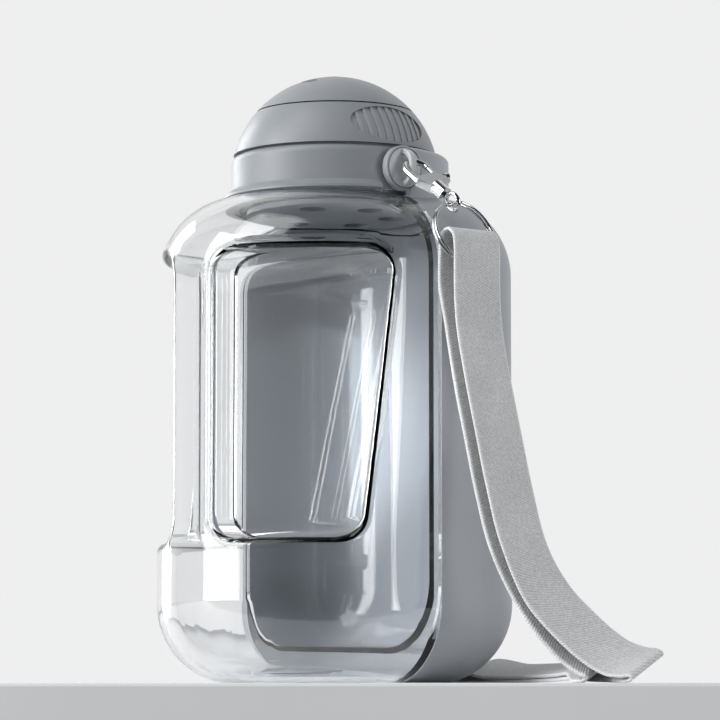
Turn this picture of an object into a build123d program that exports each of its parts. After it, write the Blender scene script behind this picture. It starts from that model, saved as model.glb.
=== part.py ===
import os
from math import cos, radians, sin, sqrt

from build123d import *

os.makedirs("parts", exist_ok=True)

# Sizes in millimetres. The origin is on the table under the neck's axis. The clear front with
# its hand hole faces -Y, the grey drinking bowl covers the back at +Y, and the strap hangs at +X.

# Bottle body
body_width = 122.0
body_height = 182.5
dome_radius = 39.6
nose_offset = 7.0
front_depth = body_width / 2 + nose_offset
back_depth = 53.0
back_corner_radius = 32.0
edge_radius = 30.0
bottle_wall = 2.4
seam_y = 2.0
nest_wall = 2.2
nest_floor = 11.0
foot_recess_radius = 15.0
foot_recess_depth = 1.2
foot_recess_y = -18.0

# Hand hole and grip column
hole_drop = 25.0
hole_height = 105.0
hole_top = body_height - hole_drop
hole_bottom = hole_top - hole_height
hole_corner = 8.5
hole_back_top = 17.5
hole_back_bottom = 30.5
grip_back = 53.0
grip_width = 25.0
hole_rim_radius = 3.5

# Neck, collar and pivots
bore_inset = 5.3
neck_bore = dome_radius - bore_inset
neck_wall = 2.4
neck_height = 14.9
neck_top = body_height + neck_height
platform_inset = 0.6
platform_radius = dome_radius - platform_inset
snap_bead = 0.8
snap_bead_height = 1.8
snap_bead_rise = 1.7
snap_bead_z = body_height + snap_bead_rise
collar_inset = 0.3
collar_radius = dome_radius - collar_inset
collar_wall = 2.2
collar_lip = 2.1
collar_top = neck_top + collar_lip
collar_edge_radius = 3.0
skirt_reach = 3.3
skirt_height = 3.3
skirt_lip = 0.9
skirt_half_angle = 77.0
boss_radius = 6.5
boss_height = 0.3
pivot_height = 8.3
pivot_z = body_height + pivot_height

# Screw lid with its turning outlet cap
band_height = 25.4
band_top = pivot_z + band_height
seam_groove = 0.6
band_wall = 2.2
core_wall = 2.2
plug_clearance = 0.4
plug_depth = 4.5
plug_bottom = body_height - plug_depth
inlet_count = 6
inlet_radius = 5.0
inlet_inset = 12.3
inlet_circle_radius = neck_bore - inlet_inset
gasket_thickness = 1.2
deck_thickness = 2.4
port_radius = 5.0
port_distance = 14.0
vent_radius = 2.6
vent_flange = 1.8
vent_bill = 4.0
valve_turn = 75.0
cap_wall = 1.8
slot_length = 15.0
slot_width = 4.0
slot_tilt = 22.0
axle_radius = 2.0
axle_nub_height = 0.4
axle_head_radius = 3.4
axle_head_height = 1.6
valve_plate_thickness = 1.6
seal_rim = 1.8
seal_depth = 1.2

# Grip pads in the lid's band
pad_length = 33.5
pad_height = 14.0
pad_lift = 0.35
pad_z = (collar_top + band_top) / 2 + pad_lift
pad_depth = 1.5
pad_backing = 0.6
pad_rib_count = 9
pad_rib_width = 1.2
pad_rib_drop = 0.3

# Drinking bowl and its pivot studs
bowl_wall = 2.4
nest_gap = 0.5
yoke_gap = 1.1
yoke_wall = 2.9
yoke_drop = 0.5
yoke_top = collar_top - yoke_drop
yoke_edge_radius = 2.4
eye_radius = 8.4
eye_thickness = 2.6
stud_radius = 4.0
stud_head_radius = 7.4
stud_head_height = 1.5
stud_dish_radius = 5.4
stud_dish_depth = 0.6
lug_wire = 2.1
lug_reach = 6.2
lug_stretch = 0.8
lug_width = 2.6

# Clearances
rest_gap = 0.3
running_gap = 0.05

# Snap hook
hook_wire = 1.15
hook_seat = (44.6, 0.2, 192.6)
hook_outward = 0.744
hook_sideways = 0.2
jaw_half_width = 4.6
jaw_length = 10.0
jaw_tip = 1.0
hook_thickness = 3.6
shank_radius = 2.2
shank_length = 8.0
barrel_radius = 2.9
barrel_length = 3.4
gate_radius = 0.85
gate_ear = 1.6
gate_pin_along = 15.4
gate_pin_radius = 0.5
gate_slot_depth = 3.2
knob_along = 12.6
knob_radius = 1.4
knob_height = 3.4
spring_radius = 0.6
spring_wire = 0.15
spring_turns = 4
swivel_radius = 1.1
swivel_head_radius = 1.8
swivel_head_height = 1.0
swivel_neck = 1.2
swivel_eye_radius = 2.5
swivel_eye_wire = 0.8

# Split ring
ring_radius = 13.0
ring_wire = 0.5
ring_split = 0.45
ring_turns = 2
ring_slope = 65.0

# Strap, as the middle line between its two layers: x, y, z and half the layers' distance
strap_width = 22.0
strap_thickness = 1.4
strap_fold = (
    (69.1, 156.0),
    (69.5, 160.4),
    (70.8, 163.3),
    (73.6, 164.4),
    (76.3, 162.4),
    (77.8, 157.0),
    (78.1, 151.5),
)
strap_route = (
    (73.1, 5.5, 147.0, 3.7),
    (75.5, 5.5, 129.5, 3.05),
    (80.3, 5.5, 109.0, 3.05),
    (86.4, 5.5, 87.8, 3.05),
    (92.5, 5.5, 67.5, 3.05),
    (98.8, 6.0, 48.6, 3.05),
    (107.2, 8.5, 31.0, 2.8),
    (123.5, 19.5, 13.2, 1.8),
    (139.0, 29.5, 7.4, 0.85),
)
strap_lean = 24.0
tail_route = (
    (140.0, 30.2, 5.6),
    (129.0, 38.0, 5.3),
    (108.0, 51.0, 5.0),
    (85.0, 60.0, 4.7),
    (45.0, 65.0, 4.6),
    (8.0, 67.0, 4.6),
)
tail_tilt = 15.0


def outline(inset):
    """Plan of the body drawn in by inset: a half circle in front, rounded corners at the back."""
    half_width = body_width / 2 - inset
    nose_y = body_width / 2 - front_depth
    back_y = back_depth - inset
    corner = back_corner_radius - inset
    left = Line((-half_width, nose_y), (-half_width, back_y - corner))
    left_corner = JernArc(left @ 1, (0, 1), corner, -90)
    back = Line(left_corner @ 1, (half_width - corner, back_y))
    right_corner = JernArc(back @ 1, (1, 0), corner, -90)
    right = Line(right_corner @ 1, (half_width, nose_y))
    JernArc(right @ 1, (0, -1), half_width, -180)


def body_form(inset, floor_z):
    """The rounded body drawn in by inset, standing at floor_z."""
    with BuildPart() as form:
        with BuildSketch(Plane.XY.offset(floor_z)):
            with BuildLine():
                outline(inset)
            make_face()
        extrude(amount=body_height - inset - floor_z)
        rims = form.faces().sort_by(Axis.Z)[0].edges() + form.faces().sort_by(Axis.Z)[-1].edges()
        fillet(rims, radius=edge_radius - inset)
    return form.part


def half_of(form, seam, keep):
    """The part of a form in front of or behind the seam plane."""
    with BuildPart() as half:
        add(form)
        split(bisect_by=Plane.XZ.offset(-seam), keep=keep)
    return half.part


def hand_hole(grow):
    """The space cut through the front for the fingers, grown by grow on every side."""
    far = body_width
    low = hole_bottom - grow
    high = hole_top + grow
    front = grip_back + grow
    with BuildPart() as hole:
        with BuildSketch(Plane.YZ):
            with BuildLine():
                Polyline(
                    (-front, low),
                    (-hole_back_bottom + grow, low),
                    (-hole_back_top + grow, high),
                    (-front, high),
                    close=True,
                )
            make_face()
            fillet(vertices(), radius=hole_corner + grow)
        extrude(amount=far, both=True)
        with BuildSketch(Plane.XZ.offset(grip_back - hole_corner)):
            for side in (-1, 1):
                with Locations((side * (grip_width / 2 - grow + far / 2), (low + high) / 2)):
                    RectangleRounded(far, high - low, hole_corner + grow)
        extrude(amount=front_depth)
    return hole.part


# Clear bottle: the moulded front shell with the grip, the nested back half and the neck
neck_radius = neck_bore + neck_wall
nest_inset = bowl_wall + nest_gap
nest_inner = nest_inset + nest_wall

with BuildPart() as bottle_space:
    add(half_of(body_form(bottle_wall, bottle_wall), seam_y - bottle_wall, Keep.TOP))
    add(half_of(body_form(nest_inner, nest_floor + nest_wall), seam_y - bottle_wall - 1, Keep.BOTTOM))
    add(hand_hole(bottle_wall), mode=Mode.SUBTRACT)
    with BuildSketch(Plane.XY.offset(hole_top + bottle_wall)):
        Circle(platform_radius - bottle_wall)
    extrude(amount=body_height - bottle_wall - hole_top - bottle_wall)

with BuildPart() as clear_bottle:
    add(half_of(body_form(0, 0), seam_y, Keep.TOP))
    add(half_of(body_form(nest_inset, nest_floor), seam_y, Keep.BOTTOM))
    with BuildSketch(Plane.XY.offset(hole_top + hole_corner)):
        Circle(platform_radius)
    extrude(amount=body_height - hole_top - hole_corner)
    add(hand_hole(0), mode=Mode.SUBTRACT)
    boxes = [(edge, edge.bounding_box()) for edge in clear_bottle.edges()]
    rims = [
        edge
        for edge, box in boxes
        if box.max.Y < -hole_back_top
        and hole_bottom - hole_corner < box.min.Z
        and box.max.Z < hole_top + hole_corner
    ]
    fillet(rims, radius=hole_rim_radius)
    add(bottle_space.part, mode=Mode.SUBTRACT)
    with BuildSketch(Plane.XY.offset(bottle_wall / 2)):
        with Locations((0, foot_recess_y)):
            Circle(foot_recess_radius + bottle_wall)
    extrude(amount=bottle_wall)
    with BuildSketch(Plane.XY):
        with Locations((0, foot_recess_y)):
            Circle(foot_recess_radius)
    extrude(amount=foot_recess_depth, mode=Mode.SUBTRACT)
    with BuildSketch(Plane.XY.offset(body_height - bottle_wall)):
        Circle(neck_radius)
    extrude(amount=neck_top - body_height + bottle_wall)
    with BuildSketch(Plane.XY.offset(snap_bead_z)):
        Circle(neck_radius + snap_bead)
    extrude(amount=snap_bead_height)
    with BuildSketch(Plane.XY.offset(body_height - platform_radius / 2)):
        Circle(neck_bore)
    extrude(amount=neck_top, mode=Mode.SUBTRACT)

clear_bottle.part.label = "clear_bottle"
export_step(clear_bottle.part, "parts/clear_bottle.step")


def ball(radius):
    """A ball about the point that the bowl turns on."""
    with BuildPart() as form:
        with Locations((0, 0, pivot_z)):
            Sphere(radius)
    return form.part


def disc(radius, low, high):
    """A round disc about the neck's axis, from height low to height high."""
    with BuildPart() as form:
        with BuildSketch(Plane.XY.offset(low)):
            Circle(radius)
        extrude(amount=high - low)
    return form.part


def side_disc(side, radius, near, far):
    """A round disc about the bowl's pivot, from near to far out along side * X."""
    with BuildPart() as form:
        with BuildSketch(Plane(origin=(side * near, 0, pivot_z), z_dir=(side, 0, 0))):
            Circle(radius)
        extrude(amount=far - near)
    return form.part


def side_oval(side, grow):
    """The oval of one grip pad, drawn through the lid's side and grown by grow."""
    with BuildPart() as form:
        with BuildSketch(Plane(origin=(0, 0, pad_z), x_dir=(0, 1, 0), z_dir=(side, 0, 0))):
            Ellipse(pad_length / 2 + grow, pad_height / 2 + grow)
        extrude(amount=dome_radius)
    return form.part


# Neck collar: snaps over the neck's bead, carries the two pivots and a skirt in front
collar_base = body_height + rest_gap
stud_bore = stud_radius + running_gap
skirt_plane = Plane(
    origin=(0, 0, collar_base),
    x_dir=(-sin(radians(skirt_half_angle)), -cos(radians(skirt_half_angle)), 0),
    z_dir=(-cos(radians(skirt_half_angle)), sin(radians(skirt_half_angle)), 0),
)
with BuildPart() as neck_collar:
    add(disc(collar_radius, collar_base, collar_top))
    fillet(neck_collar.edges().sort_by(Axis.Z)[-1], radius=collar_edge_radius)
    with BuildSketch(skirt_plane):
        with BuildLine():
            Polyline(
                (collar_radius - collar_wall / 2, 0),
                (collar_radius + skirt_reach, 0),
                (collar_radius + skirt_reach, skirt_lip),
                (collar_radius, skirt_height),
                (collar_radius - collar_wall / 2, skirt_height),
                close=True,
            )
        make_face()
    revolve(axis=Axis.Z, revolution_arc=2 * skirt_half_angle)
    for side in (-1, 1):
        add(side_disc(side, boss_radius, collar_radius - collar_wall, collar_radius + boss_height))
    add(disc(collar_radius - collar_wall, collar_base, collar_top), mode=Mode.SUBTRACT)
    bead_room = disc(
        neck_radius + snap_bead + rest_gap, snap_bead_z - rest_gap, snap_bead_z + snap_bead_height + rest_gap
    )
    add(bead_room, mode=Mode.SUBTRACT)
    for side in (-1, 1):
        add(side_disc(side, stud_bore, neck_bore, dome_radius + boss_height), mode=Mode.SUBTRACT)

neck_collar.part.label = "neck_collar"
export_step(neck_collar.part, "parts/neck_collar.step")


# Lid gasket: lies on the neck's end face under the lid's shoulder
gasket_base = neck_top + rest_gap
gasket_outer = neck_radius - 2 * rest_gap
with BuildPart() as lid_gasket:
    add(disc(gasket_outer, gasket_base, gasket_base + gasket_thickness))
    add(disc(neck_bore + rest_gap, gasket_base, gasket_base + gasket_thickness), mode=Mode.SUBTRACT)

lid_gasket.part.label = "lid_gasket"
export_step(lid_gasket.part, "parts/lid_gasket.step")


# Lid core: plug with its inlets, round shoulder, and the deck that the outlet plate turns on
plug_radius = neck_bore - plug_clearance
core_base = gasket_base + gasket_thickness + rest_gap
core_radius = dome_radius - band_wall - rest_gap
deck_top = band_top - rest_gap
deck_base = deck_top - deck_thickness
port_direction = radians(valve_turn - 90)
deck_port = (port_distance * cos(port_direction), port_distance * sin(port_direction))
seal_radius = port_radius + seal_rim
vent_place = (-port_distance, 0)
axle_bore = axle_radius + running_gap
with BuildPart() as core_space:
    add(ball(core_radius - core_wall))
    add(disc(dome_radius, pivot_z - dome_radius, core_base), mode=Mode.SUBTRACT)
    add(disc(dome_radius, deck_base, pivot_z + dome_radius), mode=Mode.SUBTRACT)
    add(disc(plug_radius - core_wall, plug_bottom + core_wall, core_base + core_wall))

with BuildPart() as lid_core:
    add(ball(core_radius))
    add(disc(dome_radius, pivot_z - dome_radius, core_base), mode=Mode.SUBTRACT)
    add(disc(dome_radius, deck_top, pivot_z + dome_radius), mode=Mode.SUBTRACT)
    add(disc(plug_radius, plug_bottom, core_base + core_wall))
    add(core_space.part, mode=Mode.SUBTRACT)
    with BuildSketch(Plane.XY.offset(plug_bottom)):
        with PolarLocations(inlet_circle_radius, inlet_count):
            Circle(inlet_radius)
    extrude(amount=core_wall, mode=Mode.SUBTRACT)
    with BuildSketch(Plane.XY.offset(deck_base)):
        with Locations(deck_port):
            Circle(port_radius)
        with Locations(vent_place):
            Circle(vent_radius + running_gap)
        Circle(axle_bore)
    extrude(amount=deck_thickness, mode=Mode.SUBTRACT)
    with BuildSketch(Plane.XY.offset(deck_top - seal_depth)):
        with Locations(deck_port):
            Circle(seal_radius + running_gap)
    extrude(amount=seal_depth, mode=Mode.SUBTRACT)

lid_core.part.label = "lid_core"
export_step(lid_core.part, "parts/lid_core.step")


# Dome band: the outer ring that the hand turns, with an oval recess on each side
band_base = collar_top + seam_groove
recess_radius = dome_radius - pad_depth


def pad_recess(side):
    """The room for one grip pad in the lid's side."""
    with BuildPart() as form:
        add(side_oval(side, 0))
        add(ball(recess_radius), mode=Mode.SUBTRACT)
    return form.part


with BuildPart() as dome_band:
    add(ball(dome_radius))
    add(disc(dome_radius, pivot_z - dome_radius, band_base), mode=Mode.SUBTRACT)
    add(disc(dome_radius, band_top, pivot_z + dome_radius), mode=Mode.SUBTRACT)
    add(ball(dome_radius - band_wall), mode=Mode.SUBTRACT)
    for side in (-1, 1):
        add(pad_recess(side), mode=Mode.SUBTRACT)

dome_band.part.label = "dome_band"
export_step(dome_band.part, "parts/dome_band.step")


# Grip pads: one soft oval with upright ribs in each recess
pad_shrink = -running_gap
rib_pitch = pad_length / (pad_rib_count + 1)


def pad_ribs(side):
    """Upright ribs that end a little below the band's surface."""
    with BuildPart() as form:
        for index in range(pad_rib_count):
            rib_y = (index - (pad_rib_count - 1) / 2) * rib_pitch
            with Locations((side * dome_radius / 2, rib_y, pad_z)):
                Box(dome_radius, pad_rib_width, pad_height)
        add(ball(dome_radius - pad_rib_drop), mode=Mode.INTERSECT)
    return form.part


def pad_cover(side):
    """The pad's backing with its ribs, before the oval trims them."""
    with BuildPart() as form:
        add(ball(recess_radius + running_gap + pad_backing))
        add(pad_ribs(side))
    return form.part


def grip_pad(side):
    """One oval pad in the recess at side * X."""
    with BuildPart() as form:
        add(side_oval(side, pad_shrink))
        add(pad_cover(side), mode=Mode.INTERSECT)
        add(ball(recess_radius + running_gap), mode=Mode.SUBTRACT)
    return form.part


with BuildPart() as grip_pads:
    for side in (-1, 1):
        add(grip_pad(side))

grip_pads.part.label = "grip_pads"
export_step(grip_pads.part, "parts/grip_pads.step")


# Valve plate: turns on the deck and covers or frees the port
plate_base = deck_top + rest_gap
plate_top = plate_base + valve_plate_thickness
cap_inner = dome_radius - cap_wall
plate_radius = sqrt(cap_inner**2 - (plate_top - pivot_z) ** 2) - rest_gap
with BuildPart() as valve_plate:
    add(disc(plate_radius, plate_base, plate_top))
    add(disc(axle_bore, plate_base, plate_top), mode=Mode.SUBTRACT)
    with BuildSketch(Plane.XY.offset(plate_base)):
        with Locations((0, -port_distance)):
            Circle(port_radius)
    extrude(amount=valve_plate_thickness, mode=Mode.SUBTRACT)

valve_plate.part.label = "valve_plate"
export_step(valve_plate.part, "parts/valve_plate.step")


# Seal pad: the soft ring round the deck's port
with BuildPart() as seal_pad:
    with BuildSketch(Plane.XY.offset(deck_top - seal_depth + running_gap)):
        with Locations(deck_port):
            Circle(seal_radius)
            Circle(port_radius, mode=Mode.SUBTRACT)
    extrude(amount=seal_depth + rest_gap / 2)

seal_pad.part.label = "seal_pad"
export_step(seal_pad.part, "parts/seal_pad.step")


# Dome cap: the turning outlet cap, with its slot in front and a hub down to the plate
cap_base = band_top + seam_groove
cap_apex = pivot_z + dome_radius
with BuildPart() as dome_cap:
    add(ball(dome_radius))
    add(disc(dome_radius, pivot_z - dome_radius, cap_base), mode=Mode.SUBTRACT)
    add(ball(cap_inner), mode=Mode.SUBTRACT)
    add(disc(axle_head_radius, plate_top + rest_gap, cap_apex - cap_wall / 2))
    add(disc(axle_bore, plate_top, cap_apex), mode=Mode.SUBTRACT)
    slot_reach = Plane(
        origin=(0, 0, pivot_z),
        x_dir=(1, 0, 0),
        z_dir=(0, -sin(radians(slot_tilt)), cos(radians(slot_tilt))),
    )
    with BuildSketch(slot_reach.offset(cap_inner - cap_wall)):
        SlotOverall(slot_length, slot_width)
    extrude(amount=3 * cap_wall, mode=Mode.SUBTRACT)

dome_cap.part.label = "dome_cap"
export_step(dome_cap.part, "parts/dome_cap.step")


# Valve axle: pin through cap, plate and deck, with a head under the deck
axle_foot = deck_base - rest_gap - axle_head_height
with BuildPart() as valve_axle:
    add(disc(axle_radius, axle_foot, cap_apex + axle_nub_height))
    add(disc(axle_head_radius, axle_foot, deck_base - rest_gap))
    fillet(valve_axle.edges().sort_by(Axis.Z)[-1], radius=axle_nub_height)

valve_axle.part.label = "valve_axle"
export_step(valve_axle.part, "parts/valve_axle.step")


# Vent valve: a soft plug in the deck that lets air back in
with BuildPart() as vent_valve:
    with Locations(vent_place):
        add(disc(vent_radius, deck_base - vent_bill, deck_top - rest_gap))
        add(disc(vent_radius + vent_flange, deck_base - vent_flange, deck_base - rest_gap))

vent_valve.part.label = "vent_valve"
export_step(vent_valve.part, "parts/vent_valve.step")


# Drinking bowl: grey shell over the bottle's back, yoke band round the collar, two pivot eyes
bowl_seam = seam_y + rest_gap
swing_radius = collar_radius + yoke_gap
yoke_radius = swing_radius + yoke_wall
shoulder_z = body_height - edge_radius
eye_near = collar_radius + boss_height + running_gap * 4
eye_far = eye_near + eye_thickness
eye_floor = eye_far - stud_head_height


def yoke_band():
    """Half ring behind the collar that joins the bowl's two eyes."""
    with BuildPart() as form:
        add(disc(yoke_radius, shoulder_z, yoke_top))
        fillet(form.faces().sort_by(Axis.Z)[-1].edges(), radius=yoke_edge_radius)
        split(bisect_by=Plane.XZ.offset(-bowl_seam), keep=Keep.BOTTOM)
    return form.part


with BuildPart() as drinking_bowl:
    add(half_of(body_form(0, 0), bowl_seam, Keep.BOTTOM))
    add(yoke_band())
    add(body_form(bowl_wall, bowl_wall), mode=Mode.SUBTRACT)
    add(disc(swing_radius, shoulder_z, yoke_top), mode=Mode.SUBTRACT)
    for side in (-1, 1):
        add(side_disc(side, eye_radius, eye_near, eye_far))
    for side in (-1, 1):
        add(side_disc(side, stud_head_radius + rest_gap, eye_floor, yoke_radius), mode=Mode.SUBTRACT)
        add(side_disc(side, stud_bore, neck_radius, yoke_radius), mode=Mode.SUBTRACT)

drinking_bowl.part.label = "drinking_bowl"
export_step(drinking_bowl.part, "parts/drinking_bowl.step")


def pivot_stud(side):
    """The stud that an eye of the bowl turns on, with its dished head."""
    head_base = eye_floor + rest_gap
    with BuildPart() as stud:
        add(side_disc(side, stud_radius, neck_radius + snap_bead / 2 + rest_gap / 2, head_base))
        add(side_disc(side, stud_head_radius, head_base, head_base + stud_head_height))
        add(
            side_disc(side, stud_dish_radius, head_base + stud_head_height - stud_dish_depth, yoke_radius),
            mode=Mode.SUBTRACT,
        )
    return stud.part


# Plain stud at -X
with BuildPart() as plain_stud:
    add(pivot_stud(-1))

plain_stud.part.label = "plain_stud"
export_step(plain_stud.part, "parts/plain_stud.step")


# Lug stud at +X: the same stud with an arch that the snap hook holds on to
lug_base = eye_floor + rest_gap + stud_head_height - stud_dish_depth


def lug_arch():
    """Upright arch out of the stud's dish, with rounded edges."""
    with BuildPart() as form:
        with BuildSketch(Plane.XZ.offset(-lug_width / 2)):
            with Locations((lug_base, pivot_z)):
                SlotCenterToCenter(2 * lug_stretch, 2 * lug_reach, rotation=90)
                SlotCenterToCenter(
                    2 * lug_stretch, 2 * (lug_reach - lug_wire), rotation=90, mode=Mode.SUBTRACT
                )
        extrude(amount=lug_width)
        sides = form.faces().sort_by(Axis.Y)
        fillet(sides[0].edges() + sides[-1].edges(), radius=lug_width / 4)
        split(bisect_by=Plane.YZ.offset(lug_base - stud_dish_depth), keep=Keep.TOP)
    return form.part


with BuildPart() as lug_stud:
    add(pivot_stud(1))
    add(lug_arch())

lug_stud.part.label = "lug_stud"
export_step(lug_stud.part, "parts/lug_stud.step")


def rod(start, end, radius):
    """A round rod between two points."""
    line = Vector(end) - Vector(start)
    with BuildPart() as form:
        with BuildSketch(Plane(origin=start, z_dir=line)):
            Circle(radius)
        extrude(amount=line.length)
    return form.part


# Snap hook: local x runs across the jaw towards the gate, local y back from body to crest
hook_down = sqrt(1 - hook_outward**2 - hook_sideways**2)
hook_side = sqrt(1 - hook_outward**2)
hook_plane = Plane(
    origin=hook_seat,
    x_dir=(0, hook_down, hook_sideways),
    z_dir=(hook_side, -hook_outward * hook_sideways / hook_side, hook_outward * hook_down / hook_side),
)


def on_hook(across, along, out=0):
    """A point given by its distances across, along and out of the hook's plane."""
    return hook_plane.from_local_coords((across, -along, out))


gate_inner = jaw_half_width - gate_radius - rest_gap
body_end = jaw_length + shank_length
barrel_end = body_end + barrel_length
ear_gap = gate_radius + 2 * running_gap
spring_seat = gate_inner - gate_slot_depth
head_room = 2 * running_gap
head_base = body_end + swivel_head_height
with BuildPart() as hook_body:
    with BuildLine(hook_plane) as jaw:
        Line((jaw_half_width, -jaw_half_width - jaw_tip), (jaw_half_width, -jaw_half_width))
        JernArc((jaw_half_width, -jaw_half_width), (0, 1), jaw_half_width, 180)
        Line((-jaw_half_width, -jaw_half_width), (-jaw_half_width, -jaw_length - hook_wire))
    with BuildSketch(Plane(origin=jaw.line @ 0, z_dir=jaw.line % 0)):
        Circle(hook_wire)
    sweep(path=jaw.line)
    with BuildSketch(hook_plane.offset(-hook_thickness / 2)):
        with BuildLine():
            Polyline(
                (-jaw_half_width - hook_wire, -jaw_length),
                (gate_inner, -jaw_length),
                (jaw_half_width + gate_ear, -gate_pin_along + gate_ear),
                (jaw_half_width + gate_ear, -gate_pin_along - gate_ear),
                (shank_radius, -body_end),
                (-shank_radius, -body_end),
                close=True,
            )
        make_face()
        fillet(vertices(), radius=gate_radius)
    extrude(amount=hook_thickness)
    add(rod(on_hook(0, body_end - shank_radius), on_hook(0, barrel_end), barrel_radius))
    with BuildSketch(hook_plane.offset(-ear_gap)):
        with BuildLine():
            Polyline(
                (spring_seat, -jaw_length - hook_wire),
                (jaw_half_width + barrel_radius, -jaw_length + barrel_radius),
                (jaw_half_width + barrel_radius, -body_end),
                (gate_inner, -gate_pin_along - gate_ear),
                (spring_seat, -gate_pin_along + gate_ear),
                close=True,
            )
        make_face()
    extrude(amount=2 * ear_gap, mode=Mode.SUBTRACT)
    pin_bore = gate_pin_radius + running_gap
    pin_low = on_hook(jaw_half_width, gate_pin_along, -hook_thickness)
    pin_high = on_hook(jaw_half_width, gate_pin_along, hook_thickness)
    add(rod(pin_low, pin_high, pin_bore), mode=Mode.SUBTRACT)
    add(
        rod(
            on_hook(0, body_end - head_room),
            on_hook(0, head_base + head_room),
            swivel_head_radius + running_gap,
        ),
        mode=Mode.SUBTRACT,
    )
    add(rod(on_hook(0, head_base), on_hook(0, barrel_end), swivel_radius + running_gap), mode=Mode.SUBTRACT)

hook_body.part.label = "hook_body"
export_step(hook_body.part, "parts/hook_body.step")


# Gate: bar from its pin up to the jaw's tip, with a thumb knob
gate_top = jaw_half_width + jaw_tip + rest_gap
with BuildPart() as hook_gate:
    add(rod(on_hook(jaw_half_width, gate_pin_along), on_hook(jaw_half_width, gate_top), gate_radius))
    add(
        rod(
            on_hook(jaw_half_width, gate_pin_along, running_gap - gate_radius),
            on_hook(jaw_half_width, gate_pin_along, gate_radius - running_gap),
            gate_ear - gate_pin_radius / 2,
        )
    )
    knob_top = jaw_half_width + gate_radius + knob_height
    add(rod(on_hook(jaw_half_width, knob_along), on_hook(knob_top, knob_along), gate_radius / 2))
    add(rod(on_hook(knob_top - knob_height / 2, knob_along), on_hook(knob_top, knob_along), knob_radius))
    add(rod(pin_low, pin_high, pin_bore), mode=Mode.SUBTRACT)

hook_gate.part.label = "hook_gate"
export_step(hook_gate.part, "parts/hook_gate.step")


# Gate pin: riveted through the two ears of the hook's body
with BuildPart() as gate_pin:
    pin_start = on_hook(jaw_half_width, gate_pin_along, -hook_thickness / 2)
    pin_end = on_hook(jaw_half_width, gate_pin_along, hook_thickness / 2)
    add(rod(pin_start, pin_end, gate_pin_radius))

gate_pin.part.label = "gate_pin"
export_step(gate_pin.part, "parts/gate_pin.step")


def least_gap(path, wire, turns):
    """Least gap between a coiled wire's neighbouring turns, measured on points of its path."""
    steps = 24
    points = [path @ (index / (steps * turns)) for index in range(steps * turns + 1)]
    gaps = []
    for index, point in enumerate(points):
        for other in points[index + steps // 2 :]:
            gaps.append((other - point).length - 2 * wire)
    return min(gaps)


# Gate spring: small coil between the slot's floor and the gate
spring_base = spring_seat + spring_wire + running_gap
spring_length = gate_inner + rest_gap - spring_wire - running_gap - spring_base
with BuildPart() as gate_spring:
    with BuildLine() as coil:
        Helix(
            pitch=spring_length / spring_turns,
            height=spring_length,
            radius=spring_radius,
            center=on_hook(spring_base, knob_along),
            direction=hook_plane.x_dir,
        )
    with BuildSketch(Plane(origin=coil.line @ 0, z_dir=coil.line % 0)):
        Circle(spring_wire)
    sweep(path=coil.line)

gate_spring.part.label = "gate_spring"
export_step(gate_spring.part, "parts/gate_spring.step")
print("gate_spring, least gap between turns:", least_gap(coil.line, spring_wire, spring_turns))


# Swivel: headed pin in the hook's barrel, with an eye for the split ring
eye_along = barrel_end + swivel_neck + swivel_eye_wire + swivel_eye_radius
with BuildPart() as swivel:
    add(rod(on_hook(0, body_end), on_hook(0, head_base), swivel_head_radius))
    add(rod(on_hook(0, body_end), on_hook(0, barrel_end + swivel_neck), swivel_radius))
    with Locations(hook_plane.location * Location((0, -eye_along, 0), (0, 90, 0))):
        Torus(swivel_eye_radius + swivel_eye_wire, swivel_eye_wire)

swivel.part.label = "swivel"
export_step(swivel.part, "parts/swivel.step")


# Split ring: two turns of wire through the swivel's eye
ring_seat = on_hook(0, eye_along + swivel_eye_radius - ring_wire - 3 * rest_gap)
ring_down = Vector(cos(radians(ring_slope)), 0, -sin(radians(ring_slope)))
ring_axis = Vector(sin(radians(ring_slope)), 0, cos(radians(ring_slope)))
ring_pitch = 2 * ring_wire + ring_split
ring_centre = ring_seat + ring_down * ring_radius
with BuildPart() as split_ring:
    with BuildLine() as turns:
        Helix(
            pitch=ring_pitch,
            height=ring_pitch * ring_turns,
            radius=ring_radius,
            center=ring_centre - ring_axis * (ring_pitch * ring_turns / 2),
            direction=ring_axis,
        )
    with BuildSketch(Plane(origin=turns.line @ 0, z_dir=turns.line % 0)):
        Circle(ring_wire)
    sweep(path=turns.line)

split_ring.part.label = "split_ring"
export_step(split_ring.part, "parts/split_ring.step")
print("split_ring, least gap between turns:", least_gap(turns.line, ring_wire, ring_turns))


def ribbon(places, thickness):
    """A flat band through places, each a centre, the way along and the way across."""
    with BuildPart() as form:
        for centre, along, across in places:
            with BuildSketch(Plane(origin=centre, x_dir=across, z_dir=along)):
                Rectangle(strap_width, thickness)
        loft(ruled=True)
    return form.part


def course(points):
    """The way along at each point of a route."""
    ways = []
    for index in range(len(points)):
        before = points[max(index - 1, 0)]
        after = points[min(index + 1, len(points) - 1)]
        ways.append((after - before).normalized())
    return ways


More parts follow.
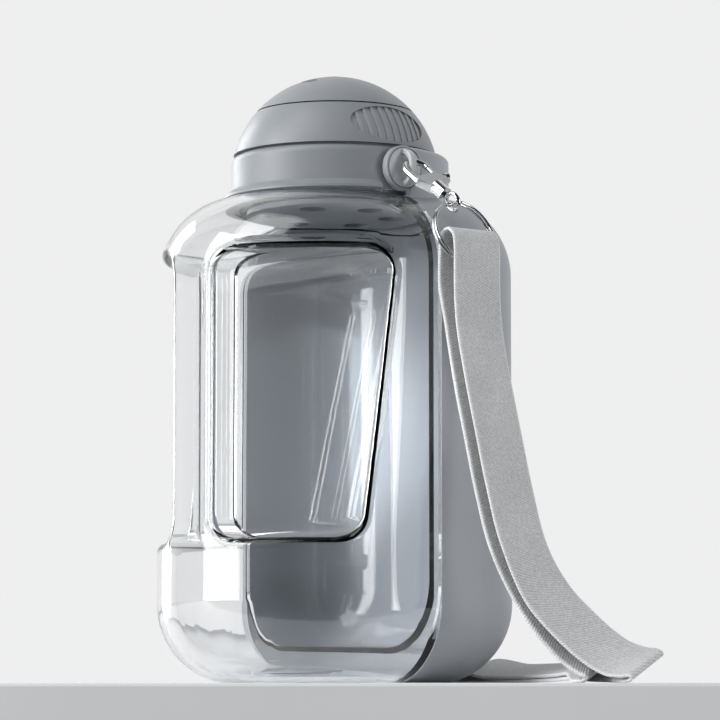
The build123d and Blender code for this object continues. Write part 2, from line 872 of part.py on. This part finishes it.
# Strap: one doubled band from the ring's fold down to the table, then behind the bowl
middles = [Vector(x, y, z) for x, y, z, half in strap_route]
ways = course(middles)
spreads = [half for x, y, z, half in strap_route]
last = len(middles) - 1
outer_layer = []
inner_layer = []
for index, (middle, way, spread) in enumerate(zip(middles, ways, spreads)):
    level = (Vector(0, 1, 0) - way * way.Y).normalized()
    lean = strap_lean * max(0, index - last / 2) / (last / 2)
    across = level.rotate(Axis((0, 0, 0), way), lean)
    face = way.cross(across).normalized()
    outer_layer.append((middle + face * spread, way, across))
    inner_layer.append((middle - face * spread, way * -1, across))
fold_points = [Vector(x, middles[0].Y, z) for x, z in strap_fold]
fold_ways = course([inner_layer[0][0]] + fold_points + [outer_layer[0][0]])[1:-1]
fold_layer = [(point, way, Vector(0, 1, 0)) for point, way in zip(fold_points, fold_ways)]
tail_points = [Vector(x, y, z) for x, y, z in tail_route]
tail_layer = []
for point, way in zip(tail_points, course(tail_points)):
    level = (Vector(0, 1, 0) - way * way.Y).normalized()
    tail_layer.append((point, way, level.rotate(Axis((0, 0, 0), (-1, 0, 0)), -tail_tilt)))
with BuildPart() as strap:
    add(ribbon(inner_layer[::-1] + fold_layer + outer_layer, strap_thickness))
    add(ribbon(tail_layer, 2 * strap_thickness + rest_gap))

strap.part.label = "strap"
export_step(strap.part, "parts/strap.step")
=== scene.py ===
from math import atan, cos, radians, sin, tau

import bmesh
import bpy
from mathutils import Matrix, Vector


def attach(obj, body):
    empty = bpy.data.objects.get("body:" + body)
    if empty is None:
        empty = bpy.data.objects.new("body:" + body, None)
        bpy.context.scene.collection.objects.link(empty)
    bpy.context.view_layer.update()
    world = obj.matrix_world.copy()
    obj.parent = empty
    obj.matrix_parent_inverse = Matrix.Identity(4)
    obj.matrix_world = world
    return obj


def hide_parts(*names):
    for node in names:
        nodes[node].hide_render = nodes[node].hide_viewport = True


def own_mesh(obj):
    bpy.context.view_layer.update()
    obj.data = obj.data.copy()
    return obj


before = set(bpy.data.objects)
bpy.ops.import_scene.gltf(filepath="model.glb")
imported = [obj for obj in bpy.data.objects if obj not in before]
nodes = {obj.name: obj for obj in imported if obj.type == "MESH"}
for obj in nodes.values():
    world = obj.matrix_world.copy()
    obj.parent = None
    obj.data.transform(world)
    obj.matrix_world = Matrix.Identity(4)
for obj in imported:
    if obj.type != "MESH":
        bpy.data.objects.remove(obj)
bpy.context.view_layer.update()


# Clear bottle: blow-moulded from clear copolyester, with the hand hole's column formed in the
# same shot. The wall is even but never quite flat, so that reflections run in soft waves. Light
# that only casts a shadow passes straight through it, a little greyed.
class Tone:
    """A value that changes over a surface. Sums and products of tones add Math nodes."""

    def __init__(self, tree, socket=None):
        self.tree = tree
        self.socket = socket

    def add(self, kind, settings=None, sockets=None, out=0):
        """One more node: its settings first, then the values or links of its sockets."""
        node = self.tree.nodes.new(kind)
        settings = dict(settings or {})
        for place, stop in enumerate(settings.pop("stops", ())):
            if place > 1:
                node.color_ramp.elements.new(stop[0])
            node.color_ramp.elements[place].position = stop[0]
            node.color_ramp.elements[place].color = (*stop[1], 1)
        for name, value in settings.items():
            setattr(node, name, value)
        for name, value in (sockets or {}).items():
            if isinstance(value, Tone):
                self.tree.links.new(value.socket, node.inputs[name])
            elif isinstance(value, tuple) and node.inputs[name].type == "RGBA":
                node.inputs[name].default_value = (*value, 1)
            else:
                node.inputs[name].default_value = value
        return Tone(self.tree, node.outputs[out] if node.outputs else None)

    def math(self, operation, *values):
        return self.add("ShaderNodeMath", {"operation": operation}, dict(enumerate(values)))

    def __add__(self, other):
        return self.math("ADD", self, other)

    def __sub__(self, other):
        return self.math("SUBTRACT", self, other)

    def __rsub__(self, other):
        return self.math("SUBTRACT", other, self)

    def __mul__(self, other):
        return self.math("MULTIPLY", self, other)

    __radd__ = __add__
    __rmul__ = __mul__


def new_finish(name):
    """An empty material, and a tone to start its nodes from."""
    finish = bpy.data.materials.new(name)
    finish.use_nodes = True
    finish.node_tree.nodes.clear()
    return finish, Tone(finish.node_tree)


def wear(names, finish):
    """Puts a finish on the drawn pieces of these names."""
    for name in names:
        nodes[name].data.materials.clear()
        nodes[name].data.materials.append(finish)


clear_plastic, start = new_finish("clear_plastic")
spot = start.add("ShaderNodeTexCoord", out="Object")
flow = start.add("ShaderNodeTexNoise", {}, {"Vector": spot, "Scale": 16.0, "Detail": 1.0})
haze = start.add("ShaderNodeTexNoise", {}, {"Vector": spot, "Scale": 240.0, "Detail": 3.0})
waves = start.add("ShaderNodeBump", {}, {"Height": flow, "Strength": 0.2, "Distance": 0.001})
shell = start.add(
    "ShaderNodeBsdfPrincipled",
    {},
    {
        "Base Color": (0.985, 0.99, 0.994),
        "Roughness": haze * 0.02,
        "IOR": 1.49,
        "Transmission Weight": 1.0,
        "Normal": waves,
    },
)
in_shadow = start.add("ShaderNodeLightPath", out="Is Shadow Ray")
open_way = start.add("ShaderNodeBsdfTransparent", {}, {"Color": (0.86, 0.87, 0.88)})
mixed = start.add("ShaderNodeMixShader", {}, {0: in_shadow, 1: shell, 2: open_way})
start.add("ShaderNodeOutputMaterial", {}, {"Surface": mixed})
wear(["clear_bottle"], clear_plastic)
bpy.context.scene.cycles.transmission_bounces = 16
bpy.context.scene.cycles.transparent_max_bounces = 16
bpy.context.scene.cycles.max_bounces = 24


# Neck collar, pivot studs and drinking bowl: injection-moulded polypropylene in one cool grey.
# The mould's surface is lightly spark-eroded, which breaks the shine up into a satin one.
rub_range = 0.12
mould_grey = (0.245, 0.26, 0.277)
mould_shade = (0.23, 0.245, 0.262)


def moulded(name, colour, shade, roughness, depth):
    """Grey moulded plastic: a slow change of tone, a satin shine and a grain of this depth."""
    finish, start = new_finish(name)
    spot = start.add("ShaderNodeTexCoord", out="Object")
    cloud = start.add("ShaderNodeTexNoise", {}, {"Vector": spot, "Scale": 14.0, "Detail": 3.0})
    speck = start.add("ShaderNodeTexNoise", {}, {"Vector": spot, "Scale": 2600.0, "Detail": 2.0})
    rub = start.add("ShaderNodeTexNoise", {}, {"Vector": spot, "Scale": 90.0, "Detail": 4.0})
    blend = {"data_type": "RGBA"}
    tone = start.add("ShaderNodeMix", blend, {0: cloud, 6: colour, 7: shade}, 2)
    grain = start.add("ShaderNodeBump", {}, {"Height": speck, "Strength": 0.25, "Distance": depth})
    surface = start.add(
        "ShaderNodeBsdfPrincipled",
        {},
        {
            "Base Color": tone,
            "Roughness": rub * rub_range + (roughness - rub_range / 2),
            "IOR": 1.5,
            "Normal": grain,
        },
    )
    start.add("ShaderNodeOutputMaterial", {}, {"Surface": surface})
    return finish


collar_grey = moulded("collar_grey", mould_grey, mould_shade, roughness=0.42, depth=4e-5)
wear(["neck_collar"], collar_grey)
stud_pale = (0.5, 0.515, 0.53)
stud_shade = (0.47, 0.485, 0.5)
stud_grey = moulded("stud_grey", stud_pale, stud_shade, roughness=0.26, depth=2e-5)
wear(["lug_stud", "plain_stud"], stud_grey)
bowl_pale = (0.34, 0.357, 0.38)
bowl_shade = (0.32, 0.337, 0.36)
bowl_grey = moulded("bowl_grey", bowl_pale, bowl_shade, roughness=0.38, depth=3e-5)
wear(["drinking_bowl"], bowl_grey)


# Screw lid: core, ribbed grip pads and dome band are moulded in the collar's grey. The vent and
# the two seals are silicone, which is softer to the eye and takes dust.
lid_grey = moulded("lid_grey", mould_grey, mould_shade, roughness=0.4, depth=4e-5)
wear(["lid_core", "dome_band"], lid_grey)
pad_pale = (0.3, 0.315, 0.33)
pad_shade = (0.28, 0.295, 0.31)
pad_grey = moulded("pad_grey", pad_pale, pad_shade, roughness=0.5, depth=6e-5)
wear(["grip_pads"], pad_grey)
silicone_pale = (0.5, 0.51, 0.52)
silicone_shade = (0.46, 0.47, 0.48)
seal_grey = moulded("seal_grey", silicone_pale, silicone_shade, roughness=0.6, depth=5e-5)
wear(["lid_gasket", "seal_pad", "vent_valve"], seal_grey)


# Turning outlet cap with its valve plate and axle: the same grey with a finer grain, because
# the thumb rests on it.
cap_pale = (0.25, 0.265, 0.282)
cap_shade = (0.235, 0.25, 0.267)
cap_grey = moulded("cap_grey", cap_pale, cap_shade, roughness=0.38, depth=3e-5)
wear(["dome_cap", "valve_plate", "valve_axle"], cap_grey)


# Snap hook, gate, swivel and split ring: die-cast zinc and steel wire, plated and buffed. The
# plating is faintly uneven from the wheel. The gate's spring shortens as the gate is pressed in;
# here it only gets a mesh of its own.
plating = (0.7, 0.71, 0.725)
chrome, start = new_finish("chrome")
spot = start.add("ShaderNodeTexCoord", out="Object")
swirl = start.add("ShaderNodeTexNoise", {}, {"Vector": spot, "Scale": 700.0, "Detail": 4.0})
cast = start.add("ShaderNodeTexNoise", {}, {"Vector": spot, "Scale": 300.0, "Detail": 2.0})
skin = start.add("ShaderNodeBump", {}, {"Height": cast, "Strength": 0.2, "Distance": 5e-5})
metal = start.add(
    "ShaderNodeBsdfPrincipled",
    {},
    {
        "Base Color": plating,
        "Metallic": 1.0,
        "Roughness": swirl * 0.08 + 0.04,
        "Normal": skin,
    },
)
start.add("ShaderNodeOutputMaterial", {}, {"Surface": metal})
wear(["hook_body", "gate_pin", "gate_spring", "hook_gate", "swivel", "split_ring"], chrome)
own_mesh(nodes["gate_spring"])


# Carrying strap: one closed loop of woven polyester webbing 22 mm wide, doubled over the split
# ring. It hangs to the table, folds at its tip and heel, and lies doubled behind the bowl. A stop
# of hang_route is a place between the two layers and half the gap between them.
strap_half_width = 0.011
strap_half_thickness = 0.0007
hang_plane = 0.0055
hang_route = (
    (0.0731, hang_plane, 0.1470, 0.0044),
    (0.0755, hang_plane, 0.1295, 0.00305),
    (0.0803, hang_plane, 0.1090, 0.00305),
    (0.0864, hang_plane, 0.0878, 0.00305),
    (0.0925, hang_plane, 0.0675, 0.00305),
    (0.0990, 0.0062, 0.0486, 0.0029),
)
ring_fold = (
    (0.0775, 0.1515),
    (0.0775, 0.1570),
    (0.0763, 0.1624),
    (0.0736, 0.1644),
    (0.0708, 0.1633),
    (0.0695, 0.1604),
    (0.0691, 0.1560),
)
outer_landing = (
    ((0.1103, 0.0110, 0.0302), (-0.06, 0.92, 0.39)),
    ((0.1182, 0.0166, 0.0197), (-0.11, 0.87, 0.49)),
    ((0.1246, 0.0213, 0.0127), (-0.15, 0.85, 0.52)),
    ((0.1306, 0.0252, 0.0084), (-0.18, 0.84, 0.51)),
    ((0.1362, 0.0286, 0.0070), (-0.19, 0.87, 0.45)),
    ((0.1386, 0.0300, 0.0069), (-0.19, 0.88, 0.42)),
)
tip_fold = (
    ((0.1395, 0.0304, 0.0060), (-0.19, 0.88, 0.42)),
    ((0.1381, 0.0305, 0.0053), (-0.19, 0.88, 0.42)),
    ((0.1322, 0.0325, 0.0050), (-0.16, 0.90, 0.38)),
)
inner_landing = (
    ((0.1035, 0.0106, 0.0312), (-0.06, 0.96, 0.27)),
    ((0.1112, 0.0152, 0.0190), (-0.11, 0.91, 0.40)),
    ((0.1176, 0.0192, 0.0112), (-0.15, 0.89, 0.43)),
    ((0.1226, 0.0218, 0.0073), (-0.18, 0.88, 0.40)),
)
heel_fold = (
    ((0.1245, 0.0229, 0.0062), (-0.18, 0.88, 0.38)),
    ((0.1238, 0.0232, 0.0052), (-0.18, 0.88, 0.38)),
    ((0.1190, 0.0262, 0.0048), (-0.12, 0.92, 0.34)),
)
tail_route = (
    (0.1080, 0.0345, 0.0050),
    (0.0880, 0.0450, 0.0046),
    (0.0620, 0.0540, 0.0043),
    (0.0340, 0.0585, 0.0041),
    (0.0040, 0.0600, 0.0040),
)
tail_half_gap = 0.0008
tail_tilt = -13
tail_end_reach = 0.0012
station_step = 0.0016


def course(points):
    """The way along a route at each of its points."""
    ways = []
    for index in range(len(points)):
        before = points[max(index - 1, 0)]
        after = points[min(index + 1, len(points) - 1)]
        ways.append((after - before).normalized())
    return ways


def across_from(way, turn):
    """The way across the webbing: level, then turned by so many degrees about its length."""
    level = (Vector((0, 1, 0)) - way * way.y).normalized()
    return Matrix.Rotation(radians(turn), 3, way) @ level


outer, inner = [], []
middles = [Vector(stop[:3]) for stop in hang_route]
for stop, middle, way in zip(hang_route, middles, course(middles)):
    across = across_from(way, 0)
    face = way.cross(across).normalized() * stop[3]
    outer.append((middle + face, across))
    inner.append((middle - face, across))
fold = [(Vector((x, hang_plane, z)), Vector((0, 1, 0))) for x, z in ring_fold]
over, under = [], []
middles = [Vector(stop) for stop in tail_route]
for middle, way in zip(middles, course(middles)):
    across = across_from(way, tail_tilt)
    face = across.cross(way).normalized()
    face = face if face.z > 0 else -face
    over.append((middle + face * tail_half_gap, across))
    under.append((middle - face * tail_half_gap, across))


def stations(stops):
    """Stops given as places and ways across, made into vectors."""
    return [(Vector(place), Vector(across).normalized()) for place, across in stops]


down = stations(outer_landing) + stations(tip_fold)
up = stations(inner_landing) + stations(heel_fold)
tail_end = over[-1][0].lerp(under[-1][0], 0.5) - Vector((tail_end_reach, 0, 0))
end_turn = (tail_end, over[-1][1])
loop = under[::-1] + down[::-1] + outer[::-1] + fold + inner + up + over + [end_turn]


def closed_curve(stops, step):
    """Smooth closed run through (place, way across) stops, cut to about step."""
    run = []
    count = len(stops)
    for index in range(count):
        four = [stops[(index + offset) % count] for offset in (-1, 0, 1, 2)]
        gaps = [(four[k + 1][0] - four[k][0]).length for k in range(3)]
        slopes = []
        for k in (1, 2):
            into = (four[k][0] - four[k - 1][0]) / gaps[k - 1]
            out = (four[k + 1][0] - four[k][0]) / gaps[k]
            slopes.append((into * gaps[k] + out * gaps[k - 1]) / (gaps[k - 1] + gaps[k]))
        parts = max(2, round(gaps[1] / step))
        for part in range(parts):
            t = part / parts
            place = (
                four[1][0] * (2 * t**3 - 3 * t**2 + 1)
                + slopes[0] * gaps[1] * (t**3 - 2 * t**2 + t)
                + four[2][0] * (3 * t**2 - 2 * t**3)
                + slopes[1] * gaps[1] * (t**3 - t**2)
            )
            ease = 3 * t**2 - 2 * t**3
            run.append((place, four[1][1].lerp(four[2][1], ease).normalized()))
    return run


def webbing_outline():
    """Half of the band's section, as shares of width and thickness, with a fuller edge."""
    flat = [(-0.93, 1.0), (-0.86, 0.86), (-0.4, 0.86), (0.0, 0.86), (0.4, 0.86), (0.86, 0.86)]
    edge = [(0.93, 1.0), (0.985, 0.7), (1.0, 0.0)]
    return flat + edge


half = webbing_outline()
section = half + [(-x, -y) for x, y in half]
run = closed_curve(loop, station_step)
sewn = bmesh.new()
uv = sewn.loops.layers.uv.new("weave")
rings, marks, along = [], [], 0.0
for index, (place, across) in enumerate(run):
    way = (run[(index + 1) % len(run)][0] - run[index - 1][0]).normalized()
    square = (across - way * across.dot(way)).length
    lift = way.cross(across).normalized() * strap_half_thickness
    side = across * (strap_half_width / square)
    ring = [sewn.verts.new(place + side * x + lift * y) for x, y in section]
    # the table holds up what would dip into it
    sunk = min(min(vert.co.z for vert in ring), 0.0)
    for vert in ring:
        vert.co.z -= sunk
    rings.append(ring)
    marks.append(along)
    along += (run[(index + 1) % len(run)][0] - place).length
marks.append(along)
for index in range(len(rings)):
    here, there = rings[index], rings[(index + 1) % len(rings)]
    for low in range(len(section)):
        high = (low + 1) % len(section)
        face = sewn.faces.new((here[low], here[high], there[high], there[low]))
        face.smooth = True
        corners = ((low, index), (high, index), (high, index + 1), (low, index + 1))
        for corner, (spot_across, spot_along) in zip(face.loops, corners):
            corner[uv].uv = (section[spot_across][0] * strap_half_width, marks[spot_along])
bmesh.ops.recalc_face_normals(sewn, faces=sewn.faces)
strap_mesh = bpy.data.meshes.new("carrying_strap")
sewn.to_mesh(strap_mesh)
sewn.free()
carrying_strap = bpy.data.objects.new("carrying_strap", strap_mesh)
bpy.context.scene.collection.objects.link(carrying_strap)

weft_pitch = 0.00105
weft_slant = 0.45
warp_pitch = 0.0009
millimetres = 1000.0
selvedge_from = 9.6
yarn_dark = (0.4, 0.405, 0.41)
yarn_pale = (0.86, 0.862, 0.865)
webbing, start = new_finish("webbing")
uv_spot = start.add("ShaderNodeUVMap", {"uv_map": "weave"})
sides = start.add("ShaderNodeSeparateXYZ", {}, {0: uv_spot}, "X")
lengths = start.add("ShaderNodeSeparateXYZ", {}, {0: uv_spot}, "Y")
spot = start.add("ShaderNodeTexCoord", out="Object")
fuzz = start.add("ShaderNodeTexNoise", {}, {"Vector": spot, "Scale": 1100.0, "Detail": 3.0})
blotch = start.add("ShaderNodeTexNoise", {}, {"Vector": spot, "Scale": 70.0, "Detail": 3.0})
weft = start.math("SINE", (lengths + sides * weft_slant) * (tau / weft_pitch) + fuzz * 3.0)
warp = start.math("SINE", sides * (tau / warp_pitch) + fuzz * 1.5)
outward = start.math("ABSOLUTE", sides) * millimetres - selvedge_from
edge = start.math("MAXIMUM", start.math("SMOOTH_MIN", 1.0, outward, 0.2), 0.0)
yarn = weft * 0.5 + warp * 0.22 + fuzz * 0.5
shade = yarn * 0.3 + fuzz * 0.7 + blotch * 0.3 + edge * 0.4 - 0.25
tone = start.add(
    "ShaderNodeMix",
    {"data_type": "RGBA"},
    {0: shade, 6: yarn_dark, 7: yarn_pale},
    2,
)
weave = start.add("ShaderNodeBump", {}, {"Height": yarn, "Strength": 0.7, "Distance": 0.00014})
cloth = start.add(
    "ShaderNodeBsdfPrincipled",
    {},
    {"Base Color": tone, "Roughness": fuzz * 0.15 + 0.72, "Sheen Weight": 0.25, "Normal": weave},
)
start.add("ShaderNodeOutputMaterial", {}, {"Surface": cloth})
strap_mesh.materials.append(webbing)
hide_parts("strap")
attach(carrying_strap, "carry_strap")


# Table: a pale painted board whose front edge runs just before the bottle, so that its face
# shows below it.
view_way = Vector((-0.79, 0.61, 0.0)).normalized()
view_side = Vector((0.61, 0.79, 0.0)).normalized()
board = bmesh.new()
board_front = -0.105
board_far = 2.6
board_depth = 0.5
edge_round = 0.0012
profile = [
    (board_front, -board_depth),
    (board_front, -edge_round),
    (board_front + edge_round * 0.3, -edge_round * 0.3),
    (board_front + edge_round, 0.0),
    (board_far, 0.0),
]
rows = []
for reach, height in profile:
    centre = view_way * reach + Vector((0, 0, height))
    rows.append([board.verts.new(centre + view_side * side) for side in (-board_far, board_far)])
for near, far in zip(rows, rows[1:]):
    board.faces.new((near[0], near[1], far[1], far[0]))
board_mesh = bpy.data.meshes.new("table_board")
board.to_mesh(board_mesh)
board.free()
table_board = bpy.data.objects.new("table_board", board_mesh)
bpy.context.scene.collection.objects.link(table_board)
paint_dark = (0.66, 0.665, 0.67)
paint_pale = (0.7, 0.705, 0.71)
paint, start = new_finish("table_paint")
spot = start.add("ShaderNodeTexCoord", out="Object")
mottle = start.add("ShaderNodeTexNoise", {}, {"Vector": spot, "Scale": 12.0, "Detail": 4.0})
tone = start.add(
    "ShaderNodeMix",
    {"data_type": "RGBA"},
    {0: mottle, 6: paint_dark, 7: paint_pale},
    2,
)
coat = start.add(
    "ShaderNodeBsdfPrincipled", {}, {"Base Color": tone, "Roughness": mottle * 0.1 + 0.5}
)
start.add("ShaderNodeOutputMaterial", {}, {"Surface": coat})
board_mesh.materials.append(paint)


# Studio: a large soft lamp high on the left, weaker ones behind, on the right and above, and a
# narrow beam through the hand hole. The room is pale ahead of the camera and dark behind it, which
# is what the shiny and the clear pieces show.
def lamp(name, place, width, height, power, aim=Vector((0.0, 0.0, 0.11))):
    """A rectangular lamp of this size in metres and power in watts, facing the bottle."""
    data = bpy.data.lights.new(name, "AREA")
    data.shape = "RECTANGLE"
    data.energy = power
    data.size = width
    data.size_y = height
    lit = bpy.data.objects.new(name, data)
    bpy.context.scene.collection.objects.link(lit)
    lit.location = place
    lit.rotation_euler = (Vector(place) - aim).to_track_quat("Z", "Y").to_euler()
    return lit


def stand(side, toward, height):
    """A place by the camera's left and right, its near and far, and height, in metres."""
    return view_side * side - view_way * toward + Vector((0, 0, height))


lamp("key_lamp", stand(-0.95, 0.3, 0.45), width=0.6, height=0.9, power=10.5)
lamp("edge_lamp", stand(-0.7, -0.75, 0.3), width=0.25, height=0.9, power=6.0)
lamp("fill_lamp", stand(1.0, 0.6, 0.1), width=0.3, height=0.6, power=3.5)
lamp("top_lamp", stand(-0.5, 0.35, 1.0), width=0.6, height=0.6, power=3.0)
window = Vector((-0.014, 0, 0.1))
beam_stand = stand(-0.02, 1.2, 0.1)
beam = lamp("window_beam", beam_stand, width=0.02, height=0.02, power=0.075, aim=window)
beam.data.spread = radians(5)
beam.visible_glossy = False
beam.visible_transmission = False

wall_dark = (0.03, 0.032, 0.034)
wall_pale = (0.86, 0.862, 0.864)
room_tint = (0.97, 0.985, 1.0)
room_strength = 0.45
room = bpy.data.worlds.new("pale_room")
bpy.context.scene.world = room
room.use_nodes = True
room.node_tree.nodes.clear()
start = Tone(room.node_tree)
seen = start.add("ShaderNodeLightPath", out="Is Camera Ray")
mirrored = start.add("ShaderNodeLightPath", out="Is Glossy Ray")
through = start.add("ShaderNodeLightPath", out="Is Transmission Ray")
way_out = start.add("ShaderNodeTexCoord", out="Generated")
ahead = start.add(
    "ShaderNodeVectorMath", {"operation": "DOT_PRODUCT"}, {0: way_out, 1: tuple(view_way)}, "Value"
)
lit_side = start.math("MINIMUM", start.math("MAXIMUM", ahead * 1.5 + 0.12, 0.0), 1.0)
walls = start.add(
    "ShaderNodeMix",
    {"data_type": "RGBA"},
    {0: lit_side, 6: wall_dark, 7: wall_pale},
    2,
)
ambient = start.add("ShaderNodeBackground", {}, {0: room_tint, 1: room_strength})
mirror = start.add("ShaderNodeBackground", {}, {0: walls, 1: 1.0})
backdrop = start.add("ShaderNodeBackground", {}, {0: wall_pale, 1: 1.0})
bent = start.math("MAXIMUM", mirrored, through)
inside = start.add("ShaderNodeMixShader", {}, {0: bent, 1: ambient, 2: mirror})
air = start.add("ShaderNodeMixShader", {}, {0: seen, 1: inside, 2: backdrop})
start.add("ShaderNodeOutputWorld", {}, {"Surface": air})
bpy.context.scene.view_settings.view_transform = "Standard"


# Camera: a long lens a little below the table's top, turned up to the bottle. The pixel values
# are the picture's width, the lens, the column of the neck's axis and the row of the horizon.
picture = 720
focal_pixels = 3530
axis_distance = 1.33
axis_column = 334.5
horizon_row = 706
eye_height = -0.008
eye = Vector((0, 0, eye_height)) - view_way * axis_distance
camera_data = bpy.data.cameras.new("camera")
camera_data.sensor_width = 36.0
camera_data.lens = camera_data.sensor_width * focal_pixels / picture
camera = bpy.data.objects.new("camera", camera_data)
bpy.context.scene.collection.objects.link(camera)
tilt = atan((horizon_row - picture / 2) / focal_pixels)
pan = atan((picture / 2 - axis_column) / focal_pixels)
heading = Matrix.Rotation(-pan, 3, "Z") @ view_way
gaze = heading * cos(tilt) + Vector((0, 0, sin(tilt)))
camera.location = eye
camera.rotation_mode = "QUATERNION"
camera.rotation_quaternion = gaze.to_track_quat("-Z", "Y")
bpy.context.scene.camera = camera


bpy.context.view_layer.update()
